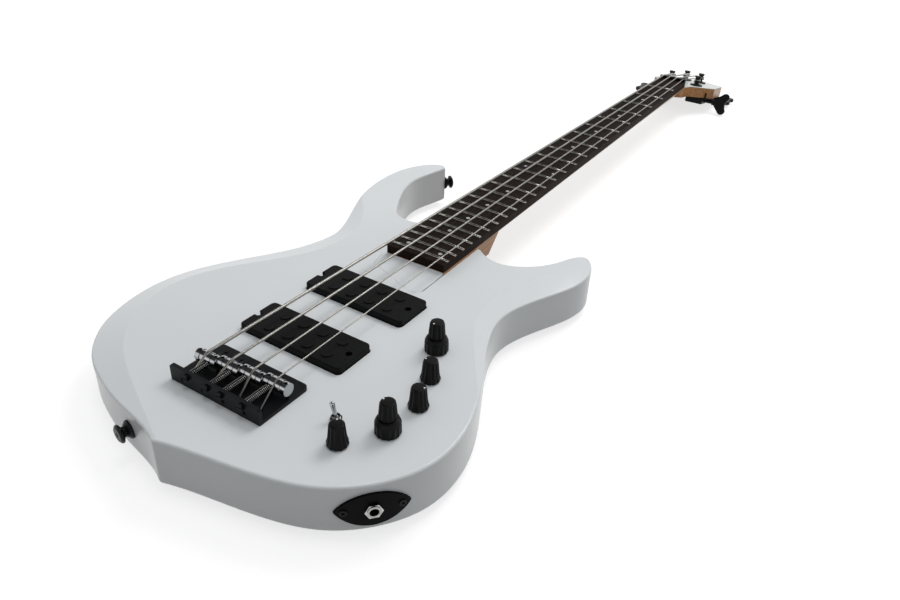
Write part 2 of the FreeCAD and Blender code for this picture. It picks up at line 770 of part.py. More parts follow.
# Saddles on their height screws, intonation screws and springs
springs = []
for k in range(4):
    name = stringNames[k]
    y = saddleSetback[k]
    left = V(bridgeX[k] - saddleLength / 2, y, saddleCentre)
    barrel = rod(saddleRadius, saddleLength, left, V(1, 0, 0))
    barrel = barrel.cut(grooves[k])
    for step in (-1, 1):
        x = bridgeX[k] + step * (bridgeStringPitch / 4 + 0.2)
        ring = rod(saddleRadius + 1, 1.2, V(x - 0.6, y, saddleCentre), V(1, 0, 0))
        barrel = barrel.cut(ring.cut(rod(saddleRadius - 0.7, 1.2, V(x - 0.6, y, saddleCentre), V(1, 0, 0))))
    tapStart = V(screwX[k], y - 2 * saddleRadius, screwAxis)
    barrel = barrel.cut(rod(screwRadius + runGap, 4 * saddleRadius, tapStart, V(0, 1, 0)))
    setScrews = []
    for side in (-1, 1):
        x = bridgeX[k] + side * setScrewSpacing
        foot = plateTop + runGap
        tall = saddleCentre + saddleRadius - setScrewSink - foot
        barrel = barrel.cut(rod(setScrewRadius, 4 * saddleRadius, V(x, y, plateTop)))
        setScrew = rod(setScrewRadius, tall, V(x, y, foot))
        socket = hexagon(0.85, 1.6, V(x, y, foot + tall - 1.5))
        setScrews.append(setScrew.cut(socket))
    parts["saddle_" + name] = Part.makeCompound([barrel] + setScrews)

    headEnd = bridgeTail - screwHeadLength
    shank = rod(screwRadius, y + screwBeyond - bridgeTail, V(screwX[k], bridgeTail, screwAxis), V(0, 1, 0))
    screwHead = rod(screwHeadRadius, screwHeadLength, V(screwX[k], headEnd, screwAxis), V(0, 1, 0))
    slot = box(screwX[k] - screwHeadRadius, screwX[k] + screwHeadRadius, headEnd - 1, headEnd + 0.9,
               screwAxis - 0.4, screwAxis + 0.4)
    parts["intonation_screw_" + name] = shank.fuse(screwHead).removeSplitter().cut(slot)

    springStart = flangeInner + springWire + 0.1
    springSpan = y - saddleRadius - springWire - 0.1 - springStart
    turns = math.floor(springSpan / springPitch * 4) / 4
    pitch = springSpan / turns
    coil, ends = helixEdges(V(0, 0, 0), springRadius, pitch, turns, 1, 0)
    place = facing(V(screwX[k], springStart, screwAxis), V(0, 1, 0))
    coil = [moved(e, place) for e in coil]
    springs.append(tube(coil, springWire, place.multVec(ends[0][0]), place.Rotation.multVec(ends[0][1])))
    print("spring", name, "%.2f turns, least gap %.2f mm"
          % (turns, coilSelfGap(springRadius, pitch, turns, springWire)))
parts["intonation_springs"] = Part.makeCompound(springs)

# Ferrules in the back hold the strings' ball ends
ferrules = []
for k in range(4):
    base = V(bridgeX[k] + stringHoleShift[k], stringHoleY, 0)
    sleeve = rod(ferruleRadius, ferruleHeight, base)
    sleeve = sleeve.cut(rod(ballRadius, ballSeat, base))
    ferrules.append(sleeve.cut(rod(stringBore - 0.4, ferruleHeight + 1, base)))
parts["string_ferrules"] = Part.makeCompound(ferrules)

# Pickups
poles = []
coils = []
pickupScrews = []
pickupWest = pickupCentreX - pickupHalfLength
pickupEast = pickupCentreX + pickupHalfLength
coverTop = bodyTop + pickupRise
coverBottom = bodyTop - pickupBury


def rectangle(x0, x1, y0, y1):
    return [(x0, y0), (x1, y0), (x1, y1), (x0, y1)]


for name, y0 in (("bridge_pickup", bridgePickupY), ("neck_pickup", neckPickupY)):
    y1 = y0 + pickupWidth
    middle = (y0 + y1) / 2
    cover = roundedPrism(rectangle(pickupWest, pickupEast, y0, y1), coverBottom, coverTop, pickupCorner)
    cover = cover.makeFillet(pickupTopRound, rimEdges(cover, coverTop))
    inset = notchDepth + pickupScrewHead + pickupWall + 0.8
    innerPlan = rectangle(pickupWest + inset, pickupEast - inset, y0 + pickupWall, y1 - pickupWall)
    cover = cover.cut(roundedPrism(innerPlan, coverBottom - 1, coverTop - 2 * pickupWall, pickupCorner / 2))
    notch = box(pickupWest - 1, pickupWest + notchDepth, middle - notchWidth / 2, middle + notchWidth / 2,
                coverBottom + pickupLugHeight, coverTop + 1)
    notchEnds = [e for e in uprightEdges(notch) if e.Vertexes[0].X > pickupWest]
    notch = notch.makeFillet(notchWidth / 2.5, notchEnds)
    bassScrew = V(pickupWest + pickupScrewInset, middle, 0)
    trebleScrew = V(pickupEast - trebleScrewInset, middle, 0)
    cover = cover.cut(notch)
    well = V(trebleScrew.x, middle, coverBottom + pickupLugHeight)
    cover = cover.cut(rod(pickupScrewHead + pickupCavityGap, coverTop - coverBottom, well))
    cavityPlan = rectangle(pickupWest - pickupCavityGap, pickupEast + pickupCavityGap,
                           y0 - pickupCavityGap, y1 + pickupCavityGap)
    bodyHoles.append(roundedPrism(cavityPlan, pickupCavityFloor, bodyTop + 1, pickupCorner))
    coilPlan = rectangle(pickupWest + inset + seatGap, pickupEast - inset - seatGap,
                         y0 + pickupWall + seatGap, y1 - pickupWall - seatGap)
    coil = roundedPrism(coilPlan, pickupCavityFloor, coverTop - 2 * pickupWall - seatGap, pickupCorner / 2)
    for spot in (bassScrew, trebleScrew):
        seat = coverBottom + pickupLugHeight
        passage = V(spot.x, middle, coverBottom - 1)
        cover = cover.cut(rod(pickupScrewRadius + runGap, pickupLugHeight + 2, passage))
        headPiece = rod(pickupScrewHead, pickupScrewHeadHeight, V(spot.x, middle, seat))
        headPiece = headPiece.cut(box(spot.x - 2, spot.x + 2, middle - 0.35, middle + 0.35,
                                      seat + pickupScrewHeadHeight - 0.8, seat + 5))
        shank = rod(pickupScrewRadius, seat - pickupCavityFloor + 8, V(spot.x, middle, pickupCavityFloor - 8))
        pickupScrews.append(headPiece.fuse(shank).removeSplitter())
        bodyHoles.append(rod(pickupScrewRadius, 12, V(spot.x, middle, pickupCavityFloor - 9)))
    for row in (-1, 1):
        for k in range(poleCount):
            spread = bridgeStringPitch - (bridgeStringPitch - nutStringPitch) * middle / scaleLength
            base = V(spread * (k - (poleCount - 1) / 2), middle + row * poleRowOffset,
                     coverTop - 2 * pickupWall - poleBury)
            pole = rod(poleRadius, coverTop + poleProud - base.z, base)
            poles.append(pole)
            cover = cover.cut(pole)
            coil = coil.cut(pole)
    coils.append(coil)
    parts[name] = cover
parts["pickup_poles"] = Part.makeCompound(poles)
parts["pickup_coils"] = Part.makeCompound(coils)
parts["pickup_screws"] = Part.makeCompound(pickupScrews)

# Knobs, pots and their nuts
pots = []
controlNuts = []


def knobProfile(skirt, waist, top, skirtHeight, height, bore, boreDepth):
    return [(bore, knobRecessHeight), (knobRecessRadius, knobRecessHeight), (knobRecessRadius, 0), (skirt, 0),
            (skirt - 0.2, 1.0), (waist, skirtHeight), (top, height - knobEdge), (top - knobEdge, height),
            (0, height), (0, boreDepth), (bore, boreDepth)]


def potSet(x, y, bore):
    can = rod(potRadius, potHeight, V(x, y, ceiling - potHeight))
    bush = rod(bushRadius, bushHeight, V(x, y, ceiling))
    pots.append(can.fuse(bush).removeSplitter().cut(rod(bore, 60, V(x, y, ceiling - shaftDepth))))
    nut = hexagon(nutHexRadius, nutHexHeight, V(x, y, bodyTop))
    controlNuts.append(nut.cut(rod(bushRadius, 20, V(x, y, bodyTop - 1))))
    bodyHoles.append(rod(bushRadius + seatGap, 20, V(x, y, ceiling - 2)))


knobBase = bodyTop + knobLift
shaftFoot = ceiling - shaftDepth + seatGap
for name, (x, y) in singleKnobs.items():
    potSet(x, y, shaftRadius + runGap)
    knob = turned(knobProfile(knobSkirtRadius, knobWaistRadius, knobTopRadius, knobSkirtHeight, knobHeight,
                              shaftRadius, knobHeight - knobCrown))
    knob.translate(V(x, y, knobBase))
    shaftPiece = rod(shaftRadius, knobBase + knobHeight - knobCrown - shaftFoot, V(x, y, shaftFoot))
    parts[name] = Part.makeCompound([knob, shaftPiece])
for name, (x, y) in stackedKnobs.items():
    potSet(x, y, shaftRadius + runGap)
    innerBore = innerShaftRadius + runGap
    ringProfile = [(shaftRadius, knobRecessHeight), (knobRecessRadius, knobRecessHeight),
                   (knobRecessRadius, 0), (ringRadius, 0), (ringRadius, 1.2),
                   (ringTopRadius, ringHeight - knobEdge),
                   (ringTopRadius - knobEdge, ringHeight), (shaftRadius, ringHeight)]
    ring = turned(ringProfile)
    ring.translate(V(x, y, knobBase))
    outer = rod(shaftRadius, knobBase + ringHeight - 0.3 - shaftFoot, V(x, y, shaftFoot))
    outer = outer.cut(rod(innerBore, 80, V(x, y, 0)))
    parts[name + "_lower"] = Part.makeCompound([ring, outer])
    upperProfile = [(0, upperHeight - knobCrown), (innerShaftRadius, upperHeight - knobCrown),
                    (innerShaftRadius, 0), (upperBaseRadius, 0), (knobTopRadius, upperHeight - knobEdge),
                    (knobTopRadius - knobEdge, upperHeight), (0, upperHeight)]
    upper = turned(upperProfile)
    upperBase = knobBase + ringHeight + upperGap
    upper.translate(V(x, y, upperBase))
    inner = rod(innerShaftRadius, upperBase + upperHeight - knobCrown - shaftFoot, V(x, y, shaftFoot))
    parts[name + "_upper"] = Part.makeCompound([upper, inner])
parts["pots"] = Part.makeCompound(pots)

# Toggle switch
tx, ty = togglePlace
can = box(tx - toggleCanWidth / 2, tx + toggleCanWidth / 2,
          ty - toggleCanLength / 2, ty + toggleCanLength / 2, ceiling - toggleCanHeight, ceiling)
bush = rod(toggleBushRadius, toggleBushTop - ceiling, V(tx, ty, ceiling))
throat = Part.makeCone(leverBall + moveGap, leverBall + moveGap + 0.1, toggleBushTop - ceiling + 4,
                       V(tx, ty, leverPivot - leverBall - 2.5))
parts["toggle_body"] = can.fuse(bush).removeSplitter().cut(throat)
toggleNut = hexagon(toggleNutHex, toggleNutHeight, V(tx, ty, bodyTop))
controlNuts.append(toggleNut.cut(rod(toggleBushRadius, 20, V(tx, ty, bodyTop - 1))))
parts["control_nuts"] = Part.makeCompound(controlNuts)
bodyHoles.append(rod(toggleBushRadius + seatGap, 20, V(tx, ty, ceiling - 2)))
lever = Part.makeSphere(leverBall, V(tx, ty, leverPivot))
lever = lever.fuse(Part.makeCone(leverRadius, leverTipRadius, leverLength, V(tx, ty, leverPivot)))
lever = lever.fuse(Part.makeSphere(leverTipRadius, V(tx, ty, leverPivot + leverLength)))
lever = lever.removeSplitter()
lever.rotate(V(tx, ty, leverPivot), V(0, 1, 0), -leverLean)
parts["toggle_lever"] = lever

# Control cavity in the back, closed by a screwed cover
middleX = sum(x for x, y in cavityCorners) / len(cavityCorners)
middleY = sum(y for x, y in cavityCorners) / len(cavityCorners)


def grown(points, by):
    plan = Part.Face(polygon(points, 0))
    ring = plan.OuterWire.makeOffset2D(by, join=2)
    return [(v.X, v.Y) for v in ring.OrderedVertexes]


bodyHoles.append(roundedPrism(cavityCorners, coverPlateThickness - 0.5, ceiling, cavityCorner))
coverPlan = grown(cavityCorners, cavityLedge)
ledgePlan = grown(cavityCorners, cavityLedge + seatGap)
bodyHoles.append(roundedPrism(ledgePlan, -1, coverPlateThickness, cavityCorner))
controlCover = roundedPrism(coverPlan, 0, coverPlateThickness, cavityCorner)
coverScrews = []
for x, y in [grown(cavityCorners, cavityLedge / 2)[k] for k in range(0, len(cavityCorners), 2)]:
    pull = V(middleX - x, middleY - y, 0).normalize() * 2.2
    x += pull.x
    y += pull.y
    cone = Part.makeCone(coverScrewHead, coverScrewRadius, coverScrewHeadHeight, V(x, y, 0))
    shank = rod(coverScrewRadius, coverScrewLength, V(x, y, 0))
    screw = cone.fuse(shank).removeSplitter()
    controlCover = controlCover.cut(screw)
    bodyHoles.append(rod(coverScrewRadius, coverScrewLength + 1, V(x, y, 0)))
    coverScrews.append(screw.cut(crossSlot(coverScrewHead, V(x, y, 0), V(0, 0, -1))))
parts["control_cover"] = controlCover
parts["control_cover_screws"] = Part.makeCompound(coverScrews)

bx, by = boardCentre
bw, bl, bt = boardSize
board = box(bx - bw / 2, bx + bw / 2, by - bl / 2, by + bl / 2, boardLift, boardLift + bt)
standoffX = bw / 2 - standoffInset
standoffY = bl / 2 - standoffInset
standoffs = [rod(standoffRadius, boardLift - coverPlateThickness,
                 V(bx + sx * standoffX, by + sy * standoffY, coverPlateThickness))
             for sx in (-1, 1) for sy in (-1, 1)]
parts["preamp_board"] = board.fuse(standoffs).removeSplitter()

# Output jack, its plate and nut, square to the side wall
def wallFrame(curve, guide):
    t = curve.parameter(flat(guide))
    spot = curve.value(t)
    along = V(*curve.tangent(t)[0]).normalize()
    out = along.cross(V(0, 0, 1))
    if (spot + out - V(0, 100, 0)).Length < (spot - V(0, 100, 0)).Length:
        out = -out
    return V(spot.x, spot.y, sideMiddle), along, out


jackSpot, jackAlong, jackOut = wallFrame(trebleCurve, jackGuide)
eyeHalf = jackPlateLength / 2
tips = [V(-eyeHalf, 0, 0), V(eyeHalf, 0, 0)]
eye = Part.Wire([Part.Arc(tips[0], V(0, jackPlateHeight / 2, 0), tips[1]).toShape(),
                 Part.Arc(tips[1], V(0, -jackPlateHeight / 2, 0), tips[0]).toShape()])
eyeTool = Part.Face(eye).extrude(V(0, 0, 40))
eyeTool.translate(V(0, 0, -25))
eyeFrame = FreeCAD.Placement(FreeCAD.Matrix(jackAlong.x, 0, jackOut.x, jackSpot.x,
                                            jackAlong.y, 0, jackOut.y, jackSpot.y,
                                            0, 1, 0, jackSpot.z, 0, 0, 0, 1))
eyeTool = moved(eyeTool, eyeFrame)
shifted = plainSlab.copy()
shifted.translate(jackOut * jackPlateThickness)
jackPlate = eyeTool.common(shifted).cut(plainSlab)
jackPlate = jackPlate.cut(rod(jackBushRadius + runGap, 60, jackSpot - jackOut * 30, jackOut))
bodyHoles.append(rod(jackHoleRadius, jackHoleDepth, jackSpot - jackOut * jackHoleDepth, jackOut).fuse(
    rod(jackHoleRadius, 3, jackSpot, jackOut)))
jackInner = rod(jackBodyRadius, jackBodyLength - jackSetback, jackSpot - jackOut * jackBodyLength, jackOut)
jackFront = jackPlateThickness + jackNutThickness + jackBushBeyond
jackBush = rod(jackBushRadius, jackFront + jackBodyLength, jackSpot - jackOut * jackBodyLength, jackOut)
jackBarrel = rod(jackBushRadius, jackBoreDepth - jackBodyLength, jackSpot - jackOut * jackBoreDepth, jackOut)
jackSocket = jackInner.fuse([jackBush, jackBarrel]).removeSplitter()
jackBoreLength = jackBoreDepth + jackFront - 1.5
jackSocket = jackSocket.cut(rod(jackBoreRadius, jackBoreLength, jackSpot + jackOut * jackFront, -jackOut))
parts["jack_socket"] = jackSocket
jackNut = hexagon(jackNutRadius, jackNutThickness, V(0, 0, jackPlateThickness))
jackNut = jackNut.cut(rod(jackBushRadius, 20, V(0, 0, -1)))
parts["jack_nut"] = moved(jackNut, eyeFrame)
jackScrews = []
for side in (-1, 1):
    away = jackSpot + jackAlong * (side * jackScrewOffset)
    spot, along, out = wallFrame(trebleCurve, (away.x, away.y))
    seat = spot + out * (jackPlateThickness * 0.97)
    headPiece = rod(jackScrewHead, jackScrewHeadHeight, seat, out)
    shank = rod(jackScrewRadius, jackScrewLength, seat - out * jackScrewLength, out)
    screw = headPiece.fuse(shank).removeSplitter()
    jackScrews.append(screw.cut(crossSlot(jackScrewHead, seat + out * jackScrewHeadHeight, out)))
    bodyHoles.append(rod(jackScrewRadius, jackScrewLength, seat - out * jackScrewLength, out))
    jackPlate = jackPlate.cut(screw)
parts["jack_plate"] = jackPlate
parts["jack_screws"] = Part.makeCompound(jackScrews)

# Strap buttons on the tail and on the end of the bass horn
buttonProfile = [(buttonBore, 0), (buttonBase, 0), (buttonBase, buttonBaseHeight * 0.5),
                 (buttonWaist, buttonBaseHeight + 1.5), (buttonWaist, buttonLength - buttonHeadHeight - 1),
                 (buttonHead, buttonLength - buttonHeadHeight + 0.6), (buttonHead, buttonLength - 1.2),
                 (buttonHead - 1.6, buttonLength), (strapScrewHead, buttonLength),
                 (buttonBore, buttonLength - strapScrewHeadHeight)]
hornMiddle = (flat(hornInner) + flat(hornOuter)) * 0.5
hornAlong = V(flat(hornInner) - flat(hornOuter)).normalize()
tailSpot, tailAlong, tailOut = wallFrame(bassCurve, tailButtonGuide)
buttons = []
strapScrews = []
hornSpot = V(hornMiddle.x, hornMiddle.y, sideMiddle)
hornOut = V(-hornAlong.y, hornAlong.x, 0)
for spot, out in ((tailSpot, tailOut), (hornSpot, hornOut)):
    place = facing(spot, out)
    buttons.append(moved(turned(buttonProfile), place))
    shank = rod(strapScrewRadius, strapScrewLength, V(0, 0, buttonLength - strapScrewLength))
    cone = Part.makeCone(buttonBore, strapScrewHead, strapScrewHeadHeight,
                         V(0, 0, buttonLength - strapScrewHeadHeight))
    slot = crossSlot(strapScrewHead, V(0, 0, buttonLength), V(0, 0, 1))
    strapScrews.append(moved(shank.fuse(cone).removeSplitter().cut(slot), place))
    bodyHoles.append(moved(shank, place))
parts["strap_buttons"] = Part.makeCompound(buttons)
parts["strap_screws"] = Part.makeCompound(strapScrews)

# Neck joint: pocket, tongue cover, plate and bolts
bodyHoles.append(prism(tongueOutline(seatGap, heelEnd + pocketBeyond), tongueBottom, bodyTop + 1))
coverNorth = boardEnd - coverGap
coverOutline = [(coverWest, coverNorth), (coverSlantWest, boardEnd - coverWestLength),
                (coverSlantEast, coverSouth), (coverEast, coverSouth), (coverEast, coverNorth)]


def coverSolid(points, z0, z1):
    shape = prism(points, z0, z1)
    corner = [e for e in uprightEdges(shape) if abs(e.Vertexes[0].X - coverEast) < 1
              and e.Vertexes[0].Y < coverSouth + 1]
    return shape.makeFillet(coverCorner, corner)


rampSide = [V(coverWest, coverNorth, bodyTop), V(coverWest, coverNorth - rampLength, bodyTop),
            V(coverWest, coverNorth, boardBottom - coverGap)]
ramp = Part.Face(Part.makePolygon(rampSide + rampSide[:1])).extrude(V(coverEast - coverWest, 0, 0))
rampSouth = coverNorth - rampLength
rampPlan = prism([(-halfWidth(boardEnd), coverNorth), (coverSlantWest, rampSouth), (coverEast, rampSouth),
                  (halfWidth(boardEnd), coverNorth)], bodyTop, boardBottom)
heelCover = coverSolid(coverOutline, bodyTop - coverThickness, bodyTop)
parts["heel_cover"] = heelCover.fuse(ramp.common(rampPlan)).removeSplitter()
coverRecess = coverSolid(coverOutline, bodyTop - coverThickness, bodyTop + 1)
for shift in (V(coverGap, 0, 0), V(-coverGap, 0, 0), V(0, -coverGap, 0)):
    bodyHoles.append(moved(coverRecess, FreeCAD.Placement(shift, FreeCAD.Rotation())))

plateSouth = tongueEnd + plateInset
plateNorth = plateSouth + plateLength
platePlan = rectangle(-plateHalfWidth, plateHalfWidth, plateSouth, plateNorth)
neckPlate = roundedPrism(platePlan, 0, plateThickness, plateCorner)
seatPlan = rectangle(-plateHalfWidth - seatGap, plateHalfWidth + seatGap, plateSouth - seatGap,
                     plateNorth + seatGap)
bodyHoles.append(roundedPrism(seatPlan, -1, plateThickness, plateCorner))
neckBolts = []
for sx in (-1, 1):
    for y in (plateSouth + boltInset, plateNorth - boltInset):
        x = sx * (plateHalfWidth - boltInset)
        cone = Part.makeCone(boltHeadRadius, boltRadius, boltHeadHeight, V(x, y, 0))
        shank = rod(boltRadius, boltTip, V(x, y, 0))
        bolt = cone.fuse(shank).removeSplitter()
        neckPlate = neckPlate.cut(bolt)
        bodyHoles.append(bolt)
        neck = neck.cut(rod(boltRadius, boltTip, V(x, y, 0)))
        neckBolts.append(bolt.cut(crossSlot(boltHeadRadius, V(x, y, 0), V(0, 0, -1))))
parts["neck_plate"] = neckPlate
parts["neck_bolts"] = Part.makeCompound(neckBolts)

# Tuners, built on the head's own axes and then tilted with it
housings = []
bushings = []
tunerScrews = []
under = -headThickness
gearTop = under - housingBaseThickness - gearGap
gearBottom = gearTop - gearHeight
housingBottom = gearBottom - gearGap - housingFloor
wormOffset = gearRadius + wormRadius + wormMesh
wormZ = (gearTop + gearBottom) / 2
housingSouth = -gearRadius - gearGap - housingWall
housingNorth = wormOffset + keyShaftRadius + gearGap + housingWall
headHoles = []


def keyShape():
    # Two-eared key in the XY plane, its stem at the origin and pointing to -X.
    lobe = keyLobeRadius
    a = V(0, keyNeckHalf, 0)
    b = V(keyLobeX - lobe * 0.75, keyLobeSpread + lobe * 0.66, 0)
    c = V(keyLobeX + lobe * 0.2, keyLobeSpread + lobe, 0)
    d = V(keyLobeX + lobe * 0.95, keyLobeSpread - lobe * 0.3, 0)
    e = V(keyLobeX + lobe * 0.45, 0, 0)

    def mirror(p):
        return V(p.x, -p.y, 0)
    edges = [Part.LineSegment(a, b).toShape(), Part.Arc(b, c, d).toShape(),
             Part.Arc(d, e, mirror(d)).toShape(), Part.Arc(mirror(d), mirror(c), mirror(b)).toShape(),
             Part.LineSegment(mirror(b), mirror(a)).toShape(), Part.LineSegment(mirror(a), a).toShape()]
    plate = Part.Face(Part.Wire(edges)).extrude(V(0, 0, keyThickness))
    plate.translate(V(0, 0, -keyThickness / 2))
    ears = [edge for edge in plate.Edges if edge.BoundBox.ZLength < 1e-6 and edge.BoundBox.XMax > 0.1]
    plate = plate.makeFillet(keyRound, ears)
    collar = rod(keyShaftRadius + 1.4, 3.0, V(-2, 0, 0), V(1, 0, 0))
    return plate.fuse(collar)


def bySide(out, x0, x1):
    return (x0, x1) if out > 0 else (-x1, -x0)


for k in range(4):
    name = stringNames[k]
    out = -1 if tunerX[k] < 0 else 1
    place = headPlace.multiply(FreeCAD.Placement(V(tunerX[k], tunerY[k], 0), FreeCAD.Rotation()))
    stem = rod(postRadius, waistBottom - gearBottom, V(0, 0, gearBottom))
    waist = rod(waistRadius, waistTop - waistBottom, V(0, 0, waistBottom))
    cap = Part.makeCone(waistRadius, postRadius, 1.2, V(0, 0, waistTop))
    crown = rod(postRadius, postHeight - waistTop - 1.2, V(0, 0, waistTop + 1.2))
    crown = crown.makeFillet(0.9, rimEdges(crown, postHeight))
    gear = rod(gearRadius, gearHeight, V(0, 0, gearBottom))
    post = gear.fuse([stem, waist, cap, crown]).removeSplitter()
    post = post.cut(box(-0.8, 0.8, -postRadius - 1, postRadius + 1, waistTop + 1.0, postHeight + 1))
    parts["tuner_post_" + name] = moved(post, place)

    sleeve = rod(bushingRadius, headThickness, V(0, 0, -headThickness))
    collar = rod(bushingFlangeRadius, bushingFlange, V(0, 0, 0))
    collar = collar.makeFillet(0.8, rimEdges(collar, bushingFlange))
    bushing = sleeve.fuse(collar).removeSplitter().cut(rod(postRadius + runGap, 60, V(0, 0, -40)))
    bushings.append(moved(bushing, place))
    headHoles.append(moved(rod(bushingRadius, headThickness + 4, V(0, 0, -headThickness - 2)), place))

    x0, x1 = bySide(out, housingSouth, housingOuter + housingEar)
    base = box(x0, x1, housingSouth, housingNorth, under - housingBaseThickness, under)
    x0, x1 = bySide(out, housingSouth, housingOuter)
    case = box(x0, x1, housingSouth, housingNorth, housingBottom, under - housingBaseThickness)
    caseEdges = [e for e in case.Edges if abs(e.CenterOfMass.z - housingBottom) < 1e-6]
    case = case.makeFillet(housingRound, caseEdges + uprightEdges(case))
    case = base.fuse(case).removeSplitter()
    case = case.cut(rod(gearRadius + gearGap, gearHeight + 2 * gearGap, V(0, 0, gearBottom - gearGap)))
    x0, x1 = bySide(out, housingSouth + housingWall, housingOuter - housingWall)
    case = case.cut(box(x0, x1, 0, wormOffset + keyShaftRadius + gearGap,
                        gearBottom - gearGap, gearTop + gearGap))
    case = case.cut(rod(postRadius + runGap, 20, V(0, 0, gearTop - 1)))
    case = case.cut(rod(keyShaftRadius + runGap, 60, V(0, wormOffset, wormZ), V(out, 0, 0)))
    for y in (housingSouth + housingEar / 2, wormOffset - keyShaftRadius - tunerScrewHead - gearGap):
        foot = V(out * (housingOuter + housingEar / 2), y, under - housingBaseThickness)
        screwHead = rod(tunerScrewHead, tunerScrewHeadHeight, foot - V(0, 0, tunerScrewHeadHeight))
        shank = rod(tunerScrewRadius, tunerScrewLength, foot)
        case = case.cut(shank)
        slot = crossSlot(tunerScrewHead, foot - V(0, 0, tunerScrewHeadHeight), V(0, 0, -1))
        tunerScrews.append(moved(screwHead.fuse(shank).removeSplitter().cut(slot), place))
        headHoles.append(moved(rod(tunerScrewRadius, tunerScrewLength + 1, foot), place))
    housings.append(moved(case, place))

    key = keyShape()
    key.rotate(V(0, 0, 0), V(1, 0, 0), keyTurn[k])
    inner = housingOuter - housingWall - gearGap
    wormEnd = housingSouth + housingWall + gearGap
    key.translate(V(keyReach[k], 0, 0))
    key = key.fuse(rod(keyShaftRadius, keyReach[k] - inner, V(inner, 0, 0), V(1, 0, 0)))
    key = key.fuse(rod(wormRadius, inner - wormEnd, V(wormEnd, 0, 0), V(1, 0, 0))).removeSplitter()
    if out < 0:
        key = key.mirror(V(0, 0, 0), V(1, 0, 0))
    key.translate(V(0, wormOffset, wormZ))
    parts["tuner_key_" + name] = moved(key, place)

parts["tuner_housings"] = Part.makeCompound(housings)
parts["tuner_bushings"] = Part.makeCompound(bushings)
parts["tuner_screws"] = Part.makeCompound(tunerScrews)
parts["neck"] = neck.cut(Part.makeCompound(headHoles))

battery = box(batteryCentre[0] - batterySize[0] / 2, batteryCentre[0] + batterySize[0] / 2,
              batteryCentre[1] - batterySize[1] / 2, batteryCentre[1] + batterySize[1] / 2,
              coverPlateThickness, coverPlateThickness + batterySize[2])
parts["battery"] = battery.makeFillet(batteryRound, uprightEdges(battery))

for tool in bodyHoles:
    slab = slab.cut(tool)
parts["body"] = slab.removeSplitter()

os.makedirs("parts", exist_ok=True)
for name, shape in parts.items():
    solids = shape.Solids
    print(name, "solids", len(solids), "volume %.0f" % sum(s.Volume for s in solids),
          "valid", all(s.isValid() for s in solids))
    shape.exportStep("parts/" + name + ".step")
print("pieces", len(parts))
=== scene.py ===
import json
import math
import bpy
import bmesh
from mathutils import Matrix, Vector


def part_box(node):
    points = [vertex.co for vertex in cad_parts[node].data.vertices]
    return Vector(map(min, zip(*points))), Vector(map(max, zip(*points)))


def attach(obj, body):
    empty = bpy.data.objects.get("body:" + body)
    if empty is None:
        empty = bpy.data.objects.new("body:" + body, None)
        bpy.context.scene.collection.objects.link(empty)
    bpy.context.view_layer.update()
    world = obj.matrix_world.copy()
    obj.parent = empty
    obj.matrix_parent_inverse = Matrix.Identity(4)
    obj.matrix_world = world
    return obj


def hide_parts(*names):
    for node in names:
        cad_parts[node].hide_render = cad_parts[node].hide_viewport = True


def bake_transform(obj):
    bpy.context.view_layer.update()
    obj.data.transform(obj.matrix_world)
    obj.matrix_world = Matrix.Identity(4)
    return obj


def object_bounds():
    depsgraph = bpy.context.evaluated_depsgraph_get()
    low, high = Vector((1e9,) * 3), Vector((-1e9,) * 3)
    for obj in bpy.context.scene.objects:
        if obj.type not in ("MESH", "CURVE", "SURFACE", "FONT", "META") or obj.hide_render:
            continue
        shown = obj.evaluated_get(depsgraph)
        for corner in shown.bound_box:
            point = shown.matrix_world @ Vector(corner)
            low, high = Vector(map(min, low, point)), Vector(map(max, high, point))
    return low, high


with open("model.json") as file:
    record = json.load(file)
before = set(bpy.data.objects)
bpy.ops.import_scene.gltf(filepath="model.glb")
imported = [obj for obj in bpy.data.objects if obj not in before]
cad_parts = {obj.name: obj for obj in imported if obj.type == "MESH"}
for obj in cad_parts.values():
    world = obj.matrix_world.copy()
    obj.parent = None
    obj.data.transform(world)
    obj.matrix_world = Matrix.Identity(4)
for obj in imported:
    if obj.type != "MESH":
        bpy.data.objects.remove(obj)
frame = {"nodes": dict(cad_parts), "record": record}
cadBox = [list(corner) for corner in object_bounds()]
scene = bpy.context.scene
nodes = frame["nodes"]
print("stage: frame loaded")


# Finishes: colour, roughness and relief of every one vary over the surface

def srgb(r, g, b):
    def linear(value):
        value = value / 255.0
        return value / 12.92 if value <= 0.04045 else ((value + 0.055) / 1.055) ** 2.4
    return (linear(r), linear(g), linear(b), 1.0)


def noiseOn(tree, stretch, detail):
    coordinates = tree.nodes.new("ShaderNodeTexCoord").outputs["Object"]
    mapping = tree.nodes.new("ShaderNodeMapping")
    mapping.inputs["Scale"].default_value = stretch
    noise = tree.nodes.new("ShaderNodeTexNoise")
    noise.inputs["Scale"].default_value = 1.0
    noise.inputs["Detail"].default_value = detail
    tree.links.new(coordinates, mapping.inputs["Vector"])
    tree.links.new(mapping.outputs["Vector"], noise.inputs["Vector"])
    return noise.outputs["Fac"]


def between(tree, factor, low, high):
    span = tree.nodes.new("ShaderNodeMapRange")
    span.inputs["To Min"].default_value = low
    span.inputs["To Max"].default_value = high
    tree.links.new(factor, span.inputs["Value"])
    return span.outputs["Result"]


def relief(tree, height, strength, depth):
    bump = tree.nodes.new("ShaderNodeBump")
    bump.inputs["Strength"].default_value = strength
    bump.inputs["Distance"].default_value = depth
    tree.links.new(height, bump.inputs["Height"])
    return bump.outputs["Normal"]


# What a finish has unless it says otherwise. Stretches are cycles per metre along X, Y and Z
plainFinish = {"metallic": 0.0, "specular": 0.5, "coat": 0.0, "coatRoughness": 0.03, "detail": 4.0,
               "spread": (0.3, 0.7), "smudge": (60, 60, 60), "smudgeDetail": 3.0, "bumpDetail": 2.0}


